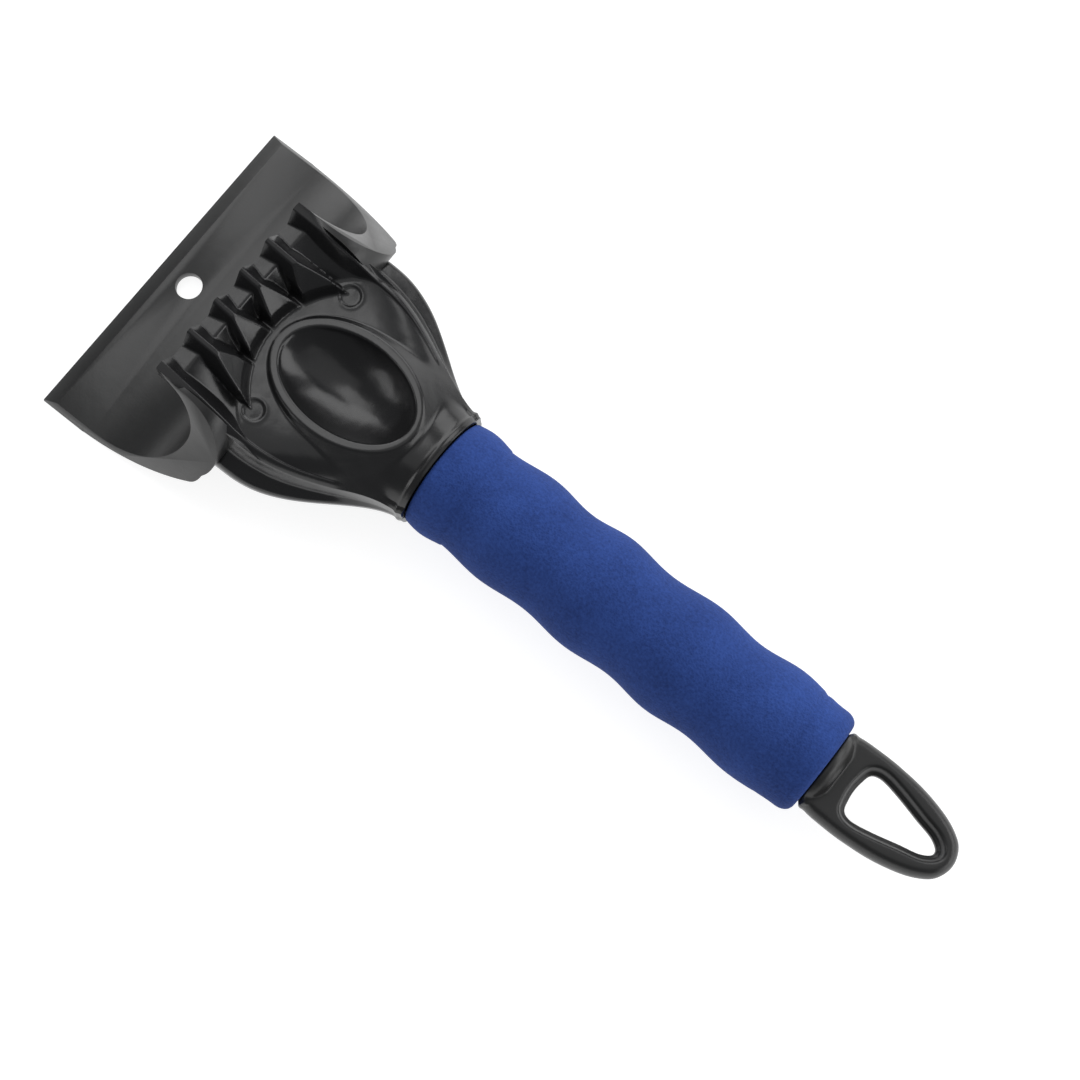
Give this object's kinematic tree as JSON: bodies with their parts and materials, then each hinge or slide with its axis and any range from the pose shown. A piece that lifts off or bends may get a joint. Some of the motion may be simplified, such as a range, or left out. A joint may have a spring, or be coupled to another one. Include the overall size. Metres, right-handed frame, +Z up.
{
  "type": "windshield ice scraper",
  "caption": "Hand ice scraper with a wide curled blade, ice breaker teeth, a thumb bowl, a straight foam grip and a hanging loop.",
  "frame": {"origin": "middle of the bounding box, on the surface that the blade's sole and the grip rest on", "axes": "+X along the handle from the blade edge to the hanging loop, +Y across the blade, +Z up with the thumb bowl and the teeth on top"},
  "size_m": [0.2772, 0.102, 0.0448],
  "materials": {
    "blade_plastic": "satin black, lightly brushed",
    "head_plastic": "glossy black moulding",
    "steel": "zinc plated",
    "core_plastic": "plain extruded",
    "foam": "fine closed-cell foam",
    "loop_plastic": "satin black moulding"
  },
  "bodies": {
    "root": {"scraper_blade": "blade_plastic", "head_top_shell": "head_plastic", "head_base_shell": "head_plastic", "head_screws": "steel", "handle_core": "core_plastic", "foam_grip": "foam", "hang_loop": "loop_plastic", "loop_pin": "steel"}
  },
  "joints": []
}
